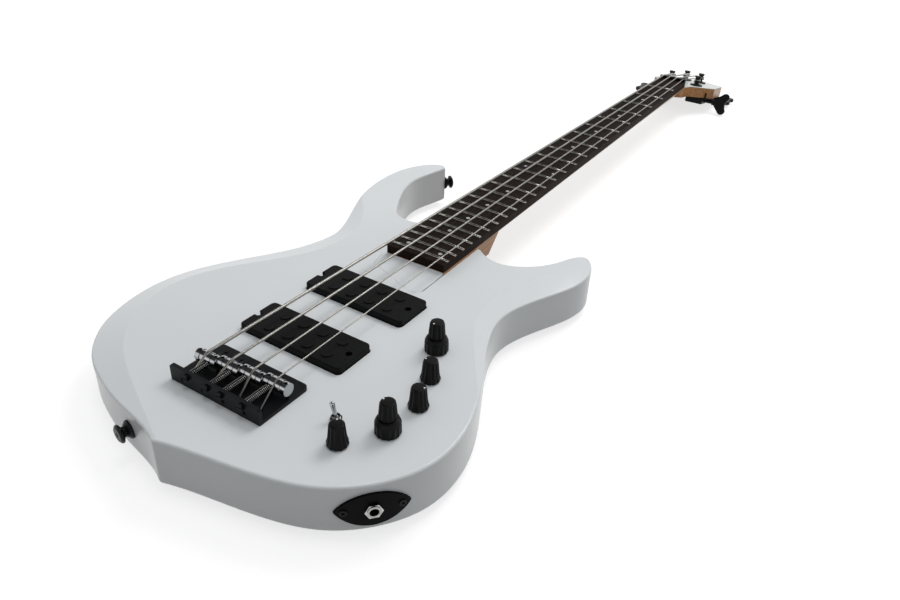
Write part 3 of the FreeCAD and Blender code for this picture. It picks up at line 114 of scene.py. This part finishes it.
def makeFinish(name, settings):
    s = {**plainFinish, **settings}
    material = bpy.data.materials.new(name)
    material.use_nodes = True
    tree = material.node_tree
    shader = tree.nodes["Principled BSDF"]
    shader.inputs["Metallic"].default_value = s["metallic"]
    shader.inputs["Specular IOR Level"].default_value = s["specular"]
    shader.inputs["Coat Weight"].default_value = s["coat"]
    shader.inputs["Coat Roughness"].default_value = s["coatRoughness"]
    grain = noiseOn(tree, s["stretch"], s["detail"])
    ramp = tree.nodes.new("ShaderNodeValToRGB")
    ramp.name = "colours"
    for stop, position, colour in zip(ramp.color_ramp.elements, s["spread"], s["colours"]):
        stop.position = position
        stop.color = colour
    tree.links.new(grain, ramp.inputs["Fac"])
    tree.links.new(ramp.outputs["Color"], shader.inputs["Base Color"])
    smudge = noiseOn(tree, s["smudge"], s["smudgeDetail"])
    tree.links.new(between(tree, smudge, *s["roughness"]), shader.inputs["Roughness"])
    if "bump" in s:
        height = noiseOn(tree, s["bumpStretch"], s["bumpDetail"])
        normal = relief(tree, height, s["bump"], s["bumpDepth"])
        tree.links.new(normal, shader.inputs["Normal"])
    return material


whiteGloss = {
    "colours": [srgb(222, 225, 226), srgb(227, 229, 230)], "stretch": (9, 9, 9), "roughness": (0.3, 0.38),
    "coat": 0.26, "coatRoughness": 0.08, "specular": 0.2,
    "bump": 0.04, "bumpStretch": (320, 320, 320), "bumpDepth": 0.0002}
finishes = {
    "lacquer": makeFinish("whiteLacquer", whiteGloss),
    "cover_plastic": makeFinish("whiteCover", whiteGloss),
    "black_plastic": makeFinish("blackPlastic", {
        "colours": [srgb(9, 9, 9), srgb(15, 15, 15)], "stretch": (300, 300, 300),
        "roughness": (0.38, 0.5), "specular": 0.04}),
    "black_metal": makeFinish("blackMetal", {
        "colours": [srgb(17, 18, 20), srgb(24, 25, 27)], "stretch": (220, 220, 220),
        "roughness": (0.28, 0.4), "specular": 0.13,
        "bump": 0.15, "bumpStretch": (2500, 2500, 2500), "bumpDepth": 0.00004}),
    "maple": makeFinish("varnishedMaple", {
        "colours": [srgb(146, 94, 49), srgb(188, 133, 75)], "stretch": (420, 9, 420), "detail": 6.0,
        "roughness": (0.3, 0.4), "coat": 0.15, "coatRoughness": 0.08, "specular": 0.3,
        "bump": 0.06, "bumpStretch": (900, 30, 900), "bumpDepth": 0.0001}),
    "dark_board": makeFinish("darkBoard", {
        "colours": [srgb(13, 9, 7), srgb(45, 32, 25)], "stretch": (900, 16, 900), "detail": 7.0,
        "roughness": (0.5, 0.64), "specular": 0.05,
        "bump": 0.25, "bumpStretch": (1600, 60, 1600), "bumpDepth": 0.0001}),
    "fret_metal": makeFinish("fretMetal", {
        "colours": [srgb(150, 148, 142), srgb(170, 168, 162)], "stretch": (200, 200, 200),
        "roughness": (0.2, 0.28), "metallic": 1.0}),
    "pearl_plastic": makeFinish("pearlPlastic", {
        "colours": [srgb(150, 153, 152), srgb(182, 184, 182)], "stretch": (500, 500, 500),
        "roughness": (0.25, 0.35)}),
    "steel": makeFinish("plainSteel", {
        "colours": [srgb(150, 150, 147), srgb(172, 172, 169)], "stretch": (300, 300, 300),
        "roughness": (0.16, 0.28), "metallic": 1.0}),
    "string_metal": makeFinish("stringMetal", {
        "colours": [srgb(146, 144, 139), srgb(166, 164, 158)], "stretch": (400, 400, 400),
        "roughness": (0.26, 0.36), "metallic": 1.0}),
    "pickup_plastic": makeFinish("pickupPlastic", {
        "colours": [srgb(7, 8, 8), srgb(13, 14, 14)], "stretch": (350, 350, 350),
        "roughness": (0.46, 0.58), "specular": 0.1,
        "bump": 0.2, "bumpStretch": (1800, 1800, 1800), "bumpDepth": 0.00005}),
    "coil": makeFinish("tapedCoil", {
        "colours": [srgb(58, 36, 26), srgb(90, 56, 38)], "stretch": (40, 40, 900),
        "roughness": (0.5, 0.65)}),
    "chrome": makeFinish("polishedChrome", {
        "colours": [srgb(176, 177, 179), srgb(190, 191, 193)], "stretch": (200, 200, 200),
        "roughness": (0.06, 0.13), "metallic": 1.0}),
    "circuit_board": makeFinish("circuitBoard", {
        "colours": [srgb(20, 84, 42), srgb(34, 110, 58)], "stretch": (260, 260, 260),
        "roughness": (0.35, 0.45)}),
    "battery_case": makeFinish("batteryCase", {
        "colours": [srgb(40, 40, 42), srgb(62, 62, 64)], "stretch": (80, 80, 80),
        "roughness": (0.3, 0.4), "metallic": 0.6}),
    "knob_plastic": makeFinish("knobPlastic", {
        "colours": [srgb(6, 6, 6), srgb(11, 11, 11)], "stretch": (300, 300, 300),
        "roughness": (0.34, 0.46), "specular": 0.14,
        "bump": 0.12, "bumpStretch": (2200, 2200, 2200), "bumpDepth": 0.00004}),
    "spring_wire": makeFinish("springWire", {
        "colours": [srgb(122, 122, 120), srgb(138, 138, 136)], "stretch": (300, 300, 300),
        "roughness": (0.14, 0.2), "metallic": 1.0}),
    "dot_paint": makeFinish("whitePaint", {
        "colours": [srgb(222, 222, 220), srgb(240, 240, 238)], "stretch": (900, 900, 900),
        "roughness": (0.4, 0.5)}),
}


# Strings: fine ridges across their length. A wave texture of scale 1 repeats every 0.314
windingSettings = {"period": 0.0004, "strength": 0.03, "depth": 0.0001, "wave": 0.314}


def addWinding(material, s):
    tree = material.node_tree
    coordinates = tree.nodes.new("ShaderNodeTexCoord").outputs["Object"]
    mapping = tree.nodes.new("ShaderNodeMapping")
    mapping.inputs["Scale"].default_value = (0.0, s["wave"] / s["period"], 0.0)
    wave = tree.nodes.new("ShaderNodeTexWave")
    wave.bands_direction = "Y"
    wave.inputs["Scale"].default_value = 1.0
    tree.links.new(coordinates, mapping.inputs["Vector"])
    tree.links.new(mapping.outputs["Vector"], wave.inputs["Vector"])
    normal = relief(tree, wave.outputs["Fac"], s["strength"], s["depth"])
    tree.links.new(normal, tree.nodes["Principled BSDF"].inputs["Normal"])


# Headstock: past the nut, the face of the head is coloured pale grey-white; the rest of the neck is
# varnished wood
headFace = {"tilt": 11.0, "point": (0.0, 0.866, 0.0428), "skin": 0.0004, "start": 0.8685,
            "colour": srgb(205, 210, 206)}


def whereAbove(tree, value, limit):
    test = tree.nodes.new("ShaderNodeMath")
    test.operation = "GREATER_THAN"
    test.inputs[1].default_value = limit
    tree.links.new(value, test.inputs[0])
    return test.outputs["Value"]


def addHeadFace(material, s):
    tree = material.node_tree
    shader = tree.nodes["Principled BSDF"]
    coordinates = tree.nodes.new("ShaderNodeTexCoord").outputs["Object"]
    tilt = math.radians(s["tilt"])
    faceNormal = Vector((0.0, math.sin(tilt), math.cos(tilt)))
    along = tree.nodes.new("ShaderNodeVectorMath")
    along.operation = "DOT_PRODUCT"
    along.inputs[1].default_value = faceNormal
    split = tree.nodes.new("ShaderNodeSeparateXYZ")
    both = tree.nodes.new("ShaderNodeMath")
    both.operation = "MULTIPLY"
    blend = tree.nodes.new("ShaderNodeMix")
    blend.data_type = "RGBA"
    blend.inputs["B"].default_value = s["colour"]
    tree.links.new(coordinates, along.inputs[0])
    tree.links.new(coordinates, split.inputs["Vector"])
    onFace = whereAbove(tree, along.outputs["Value"], faceNormal.dot(Vector(s["point"])) - s["skin"])
    pastNut = whereAbove(tree, split.outputs["Y"], s["start"])
    tree.links.new(onFace, both.inputs[0])
    tree.links.new(pastNut, both.inputs[1])
    tree.links.new(both.outputs["Value"], blend.inputs["Factor"])
    tree.links.new(tree.nodes["colours"].outputs["Color"], blend.inputs["A"])
    tree.links.new(blend.outputs["Result"], shader.inputs["Base Color"])


addWinding(finishes["string_metal"], windingSettings)
addHeadFace(finishes["maple"], headFace)

slotOf = {entry["node"]: entry["material_slot"] for entry in frame["record"]["subparts"]}
slotOf["jack_plate"] = "black_plastic"  # matt, beside the glossier black metal
for nodeName, node in nodes.items():
    node.data.materials.clear()
    node.data.materials.append(finishes[slotOf[nodeName]])

# Saddles: the two height screws in each chrome barrel are black
setScrews = {"spacing": 0.0077, "radius": 0.00126}


def blackenSetScrews(node, s):
    low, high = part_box(node.name)
    middle = (low + high) / 2
    node.data.materials.append(finishes["black_metal"])
    for polygon in node.data.polygons:
        x = abs(polygon.center.x - middle.x) - s["spacing"]
        y = polygon.center.y - middle.y
        if math.hypot(x, y) < s["radius"]:
            polygon.material_index = 1


for nodeName, node in nodes.items():
    if nodeName.startswith("saddle_"):
        blackenSetScrews(node, setScrews)
print("stage: CAD nodes painted")


millimetre = 0.001
sharpAngle = math.radians(35)
joinDistance = 1e-6


def newPiece(name, mesh, finish, body=None, replaced=()):
    bmesh.ops.recalc_face_normals(mesh, faces=mesh.faces)
    data = bpy.data.meshes.new(name)
    mesh.to_mesh(data)
    mesh.free()
    data.polygons.foreach_set("use_smooth", [True] * len(data.polygons))
    data.set_sharp_from_angle(angle=sharpAngle)
    piece = bpy.data.objects.new(name, data)
    scene.collection.objects.link(piece)
    data.materials.append(finishes[finish])
    if body:
        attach(piece, body)
    if replaced:
        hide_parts(*replaced)
    return piece


def joinedCopy(nodeName):
    mesh = bmesh.new()
    mesh.from_mesh(nodes[nodeName].data)
    bmesh.ops.remove_doubles(mesh, verts=mesh.verts, dist=joinDistance)
    return mesh


def closeEnds(mesh):
    openEdges = [edge for edge in mesh.edges if edge.is_boundary]
    bmesh.ops.holes_fill(mesh, edges=openEdges, sides=0)


# Knobs: fluted caps that flare into a skirt, each with a white dot near the rim of its top.
# A profile runs from the foot to the crown as radius and height; all of it is in millimetres
singleKnob = {
    "height": 17.6,
    "profile": [(6.6, 0.0), (7.2, 0.0), (7.6, 0.5), (7.7, 1.3), (7.6, 2.4), (7.25, 3.4), (6.85, 4.6),
                (6.6, 6.0), (6.25, 9.5), (5.95, 12.8), (5.7, 15.5), (5.55, 16.4), (5.2, 17.1),
                (4.7, 17.4), (4.3, 17.45)],
    "flutes": 12, "stepsPerFlute": 12, "sharpness": 0.8, "depth": 0.75, "skirtShare": 0.55,
    "fluteStart": 2.4, "fluteFull": 6.0, "fluteFade": 15.5, "fluteEnd": 17.4}
upperKnob = {
    "height": 13.3,
    "profile": [(5.9, 0.0), (6.4, 0.0), (6.6, 0.4), (6.45, 3.0), (6.1, 7.0), (5.75, 11.2), (5.55, 12.1),
                (5.2, 12.8), (4.7, 13.1), (4.3, 13.15)],
    "flutes": 12, "stepsPerFlute": 12, "sharpness": 0.8, "depth": 0.75, "skirtShare": 0.4,
    "fluteStart": 0.0, "fluteFull": 0.4, "fluteFade": 11.2, "fluteEnd": 13.1}
lowerKnob = {
    "height": 12.2,
    "profile": [(8.4, 0.0), (9.0, 0.0), (9.35, 0.5), (9.4, 1.2), (9.3, 7.4), (9.15, 8.0), (8.9, 8.3),
                (8.9, 8.6), (9.1, 8.8), (8.9, 9.4), (7.9, 11.6), (7.5, 12.05), (7.0, 12.2)],
    "flutes": 14, "stepsPerFlute": 12, "sharpness": 0.8, "depth": 0.7, "skirtShare": 0.4,
    "fluteStart": 0.0, "fluteFull": 0.5, "fluteFade": 7.4, "fluteEnd": 8.3}
dotSettings = {"radius": 0.65, "rise": 0.12, "place": 4.0, "sides": 32, "edge": 0.05, "edgeSteps": 2,
               "angles": {"blend_knob": 127, "mid_knob": 19, "tone_knob": 189, "preamp_knob_upper": 173,
                          "volume_knob_upper": 262}}


def placeKnob(mesh, nodeName, knob):
    low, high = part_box(nodeName)
    foot = Vector(((low.x + high.x) / 2, (low.y + high.y) / 2, high.z - knob["height"] * millimetre))
    bmesh.ops.scale(mesh, vec=(millimetre, millimetre, millimetre), verts=mesh.verts)
    bmesh.ops.translate(mesh, vec=foot, verts=mesh.verts)


def fluteShare(height, s):
    rise = (height - s["fluteStart"]) / (s["fluteFull"] - s["fluteStart"])
    fall = (s["fluteEnd"] - height) / (s["fluteEnd"] - s["fluteFade"])
    grown = s["skirtShare"] + (1.0 - s["skirtShare"]) * max(0.0, min(1.0, rise))
    return grown * max(0.0, min(1.0, fall))


def flutedCap(nodeName, s):
    mesh = bmesh.new()
    outline = [mesh.verts.new((radius, 0.0, height)) for radius, height in s["profile"]]
    sides = [mesh.edges.new(pair) for pair in zip(outline, outline[1:])]
    bmesh.ops.spin(mesh, geom=outline + sides, axis=(0, 0, 1), cent=(0, 0, 0), angle=2 * math.pi,
                   steps=s["flutes"] * s["stepsPerFlute"], use_merge=True)
    closeEnds(mesh)
    for vert in mesh.verts:
        angle = math.atan2(vert.co.y, vert.co.x)
        dip = (0.5 - 0.5 * math.cos(s["flutes"] * angle)) ** s["sharpness"]
        radius = math.hypot(vert.co.x, vert.co.y)
        shrink = 1.0 - dip * s["depth"] * fluteShare(vert.co.z, s) / radius
        vert.co.x *= shrink
        vert.co.y *= shrink
    placeKnob(mesh, nodeName, s)
    newPiece(nodeName + "_cap", mesh, "knob_plastic", nodeName, (nodeName,))


def rimDot(nodeName, knob):
    s = dotSettings
    mesh = bmesh.new()
    bmesh.ops.create_cone(mesh, cap_ends=True, segments=s["sides"], radius1=s["radius"],
                          radius2=s["radius"], depth=2 * s["rise"])
    rim = [edge for edge in mesh.edges if all(vert.co.z > 0 for vert in edge.verts)]
    bmesh.ops.bevel(mesh, geom=rim, offset=s["edge"], affect="EDGES", segments=s["edgeSteps"],
                    profile=0.5, material=-1)
    angle = math.radians(s["angles"][nodeName])
    crown = knob["profile"][-1][1]
    place = Vector((math.cos(angle) * s["place"], math.sin(angle) * s["place"], crown))
    bmesh.ops.translate(mesh, vec=place, verts=mesh.verts)
    placeKnob(mesh, nodeName, knob)
    piece = newPiece(nodeName + "_dot", mesh, "dot_paint", nodeName)


for nodeName in ("blend_knob", "mid_knob", "tone_knob"):
    flutedCap(nodeName, singleKnob)
    rimDot(nodeName, singleKnob)
for stack in ("preamp_knob", "volume_knob"):
    flutedCap(stack + "_lower", lowerKnob)
    flutedCap(stack + "_upper", upperKnob)
    rimDot(stack + "_upper", upperKnob)
print("stage: knobs")

# Springs: one coil on each intonation screw, held between the flange and its saddle
springSettings = {"radius": 0.00235, "wire": 0.0004, "pitch": 0.00145, "sides": 10, "stepsPerTurn": 24,
                  "saddleRadius": 0.005, "end": 0.0005}


def coilPiece(key):
    s = springSettings
    screwLow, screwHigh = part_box("intonation_screw_" + key)
    saddleLow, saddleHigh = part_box("saddle_" + key)
    x = (screwLow.x + screwHigh.x) / 2
    z = (screwLow.z + screwHigh.z) / 2
    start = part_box("intonation_springs")[0].y + s["wire"]
    stop = (saddleLow.y + saddleHigh.y) / 2 - s["saddleRadius"] - s["end"]
    turns = round((stop - start) / s["pitch"])
    steps = turns * s["stepsPerTurn"]
    mesh = bmesh.new()
    bmesh.ops.create_circle(mesh, segments=s["sides"], radius=s["wire"])
    bmesh.ops.translate(mesh, vec=(x + s["radius"], start, z), verts=mesh.verts)
    bmesh.ops.spin(mesh, geom=mesh.verts[:] + mesh.edges[:], axis=(0, 1, 0), cent=(x, start, z),
                   dvec=(0, (stop - start) / steps, 0), angle=2 * math.pi * turns, steps=steps)
    closeEnds(mesh)
    spring = newPiece("spring_" + key, mesh, "spring_wire")
    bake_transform(spring)
    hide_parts("intonation_springs")


for key in "eadg":
    coilPiece(key)
print("stage: springs")

# Frets: a joined copy, so that each crown shades as one smooth arch
fretPiece = newPiece("smoothFrets", joinedCopy("frets"), "fret_metal", "root", ("frets",))
print("stage: frets")

# Strings: each is cut into two runs where it bends over its saddle
stringSettings = {"reach": 0.006}


def stringFaces(whole, x, y, reach):
    # Faces of the one string that passes over the point x, y
    pending = [vert for vert in whole.verts if abs(vert.co.x - x) < reach and abs(vert.co.y - y) < reach]
    found = set(pending)
    while pending:
        for edge in pending.pop().link_edges:
            for vert in edge.verts:
                if vert not in found:
                    found.add(vert)
                    pending.append(vert)
    return {face for vert in found for face in vert.link_faces}


def stringRun(name, source, plane):
    mesh = source.copy()
    bmesh.ops.bisect_plane(mesh, geom=mesh.verts[:] + mesh.edges[:] + mesh.faces[:], plane_co=plane[0],
                           plane_no=plane[1], clear_outer=True)
    closeEnds(mesh)
    run = newPiece(name, mesh, "string_metal")
    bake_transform(run)
    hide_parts("strings")


def stringPieces(key):
    saddle = "saddle_" + key
    low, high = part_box(saddle)
    bend = (low + high) / 2
    bend.z = high.z
    mesh = joinedCopy("strings")
    kept = stringFaces(mesh, bend.x, bend.y, stringSettings["reach"])
    others = [face for face in mesh.faces if face not in kept]
    bmesh.ops.delete(mesh, geom=others, context="FACES")
    stringRun("string_tail_" + key, mesh, (bend, (0, 1, 0)))
    stringRun("string_" + key, mesh, (bend, (0, -1, 0)))
    mesh.free()


for key in "eadg":
    stringPieces(key)
print("stage: strings")

# Floor, light and camera: what the camera and the reflections see of the room is white up to a dark
# ceiling, and the floor keeps a faint shadow
floorSettings = {"half": 6.0, "drop": 0.001, "colour": (0.42, 0.417, 0.408, 1), "roughness": 0.9,
                 "glow": 0.72}
skySettings = {"bright": Vector((0.0, 0.28, 0.96)), "from": -0.5, "to": 1.0, "low": 0.09, "high": 0.56,
               "tint": (0.95, 0.975, 1.0, 1), "wallColour": (1, 1, 1, 1), "wall": 1.0, "wallTop": 0.45,
               "ceilingFrom": 0.62, "ceiling": 0.05}


def seenDirectly(tree):
    rays = tree.nodes.new("ShaderNodeLightPath")
    total = rays.outputs["Is Camera Ray"]
    for kind in ("Is Glossy Ray", "Is Transmission Ray"):
        either = tree.nodes.new("ShaderNodeMath")
        either.operation = "MAXIMUM"
        tree.links.new(total, either.inputs[0])
        tree.links.new(rays.outputs[kind], either.inputs[1])
        total = either.outputs["Value"]
    return total


def paleFloor(s):
    material = bpy.data.materials.new("paleFloor")
    material.use_nodes = True
    tree = material.node_tree
    shader = tree.nodes["Principled BSDF"]
    shader.inputs["Base Color"].default_value = s["colour"]
    shader.inputs["Roughness"].default_value = s["roughness"]
    glow = tree.nodes.new("ShaderNodeEmission")
    glow.inputs["Strength"].default_value = s["glow"]
    lifted = tree.nodes.new("ShaderNodeAddShader")
    mixer = tree.nodes.new("ShaderNodeMixShader")
    tree.links.new(shader.outputs["BSDF"], lifted.inputs[0])
    tree.links.new(glow.outputs["Emission"], lifted.inputs[1])
    tree.links.new(seenDirectly(tree), mixer.inputs["Fac"])
    tree.links.new(shader.outputs["BSDF"], mixer.inputs[1])
    tree.links.new(lifted.outputs["Shader"], mixer.inputs[2])
    tree.links.new(mixer.outputs["Shader"], tree.nodes["Material Output"].inputs["Surface"])
    return material


floorMesh = bmesh.new()
bmesh.ops.create_grid(floorMesh, x_segments=1, y_segments=1, size=floorSettings["half"])
floorData = bpy.data.meshes.new("floor")
floorMesh.to_mesh(floorData)
floorMesh.free()
floorData.materials.append(paleFloor(floorSettings))
floor = bpy.data.objects.new("floor", floorData)
floor.location = (0, 0, cadBox[0][2] - floorSettings["drop"])
scene.collection.objects.link(floor)


def studioSky(s):
    world = bpy.data.worlds.new("studio")
    world.use_nodes = True
    tree = world.node_tree
    sky = tree.nodes["Background"]
    sky.inputs["Color"].default_value = s["tint"]
    direction = tree.nodes.new("ShaderNodeTexCoord").outputs["Generated"]
    upward = tree.nodes.new("ShaderNodeVectorMath")
    upward.operation = "DOT_PRODUCT"
    upward.inputs[1].default_value = s["bright"].normalized()
    fade = tree.nodes.new("ShaderNodeMapRange")
    fade.interpolation_type = "SMOOTHSTEP"
    fade.inputs["From Min"].default_value = s["from"]
    fade.inputs["From Max"].default_value = s["to"]
    fade.inputs["To Min"].default_value = s["low"]
    fade.inputs["To Max"].default_value = s["high"]
    split = tree.nodes.new("ShaderNodeSeparateXYZ")
    wall = tree.nodes.new("ShaderNodeMapRange")
    wall.inputs["From Min"].default_value = s["wallTop"]
    wall.inputs["From Max"].default_value = s["ceilingFrom"]
    wall.inputs["To Min"].default_value = s["wall"]
    wall.inputs["To Max"].default_value = s["ceiling"]
    room = tree.nodes.new("ShaderNodeBackground")
    room.inputs["Color"].default_value = s["wallColour"]
    mixer = tree.nodes.new("ShaderNodeMixShader")
    tree.links.new(direction, upward.inputs[0])
    tree.links.new(upward.outputs["Value"], fade.inputs["Value"])
    tree.links.new(fade.outputs["Result"], sky.inputs["Strength"])
    tree.links.new(direction, split.inputs["Vector"])
    tree.links.new(split.outputs["Z"], wall.inputs["Value"])
    tree.links.new(wall.outputs["Result"], room.inputs["Strength"])
    tree.links.new(seenDirectly(tree), mixer.inputs["Fac"])
    tree.links.new(sky.outputs["Background"], mixer.inputs[1])
    tree.links.new(room.outputs["Background"], mixer.inputs[2])
    tree.links.new(mixer.outputs["Shader"], tree.nodes["World Output"].inputs["Surface"])
    return world


scene.world = studioSky(skySettings)

bodyCentre = Vector((0.0, 0.15, 0.04))
lamps = {"keyLight": {"place": Vector((0.2, 1.45, 1.75)), "side": 0.9, "power": 15.8},
         "topLight": {"place": Vector((0.1, 0.2, 2.2)), "side": 0.6, "power": 5.8}}


def softbox(name, s):
    light = bpy.data.lights.new(name, "AREA")
    light.shape = "SQUARE"
    light.size = s["side"]
    light.energy = s["power"]
    lamp = bpy.data.objects.new(name, light)
    lamp.location = s["place"]
    lamp.rotation_euler = (bodyCentre - s["place"]).to_track_quat("-Z", "Y").to_euler()
    scene.collection.objects.link(lamp)


for lampName, lampSettings in lamps.items():
    softbox(lampName, lampSettings)

cameraSettings = {"place": (0.353476, -0.301747, 0.402436), "azimuth": 31.684, "elevation": 32.736,
                  "roll": 2.830, "lens": 31.996, "sensor": 36.0, "nearest": 0.01}
azimuth = math.radians(cameraSettings["azimuth"])
elevation = math.radians(cameraSettings["elevation"])
roll = math.radians(cameraSettings["roll"])
rightward = Vector((math.cos(azimuth), math.sin(azimuth), 0))
backward = Vector((math.sin(azimuth) * math.cos(elevation), -math.cos(azimuth) * math.cos(elevation),
                   math.sin(elevation)))
downward = (-backward).cross(rightward)
turnedRight = rightward * math.cos(roll) - downward * math.sin(roll)
turnedDown = rightward * math.sin(roll) + downward * math.cos(roll)
lens = bpy.data.cameras.new("camera")
lens.sensor_width = cameraSettings["sensor"]
lens.lens = cameraSettings["lens"]
lens.clip_start = cameraSettings["nearest"]
camera = bpy.data.objects.new("camera", lens)
axes = Matrix((turnedRight, -turnedDown, backward)).transposed()
camera.matrix_world = Matrix.Translation(cameraSettings["place"]) @ axes.to_4x4()
scene.collection.objects.link(camera)
scene.camera = camera
scene.view_settings.view_transform = "Standard"
print("stage: studio")
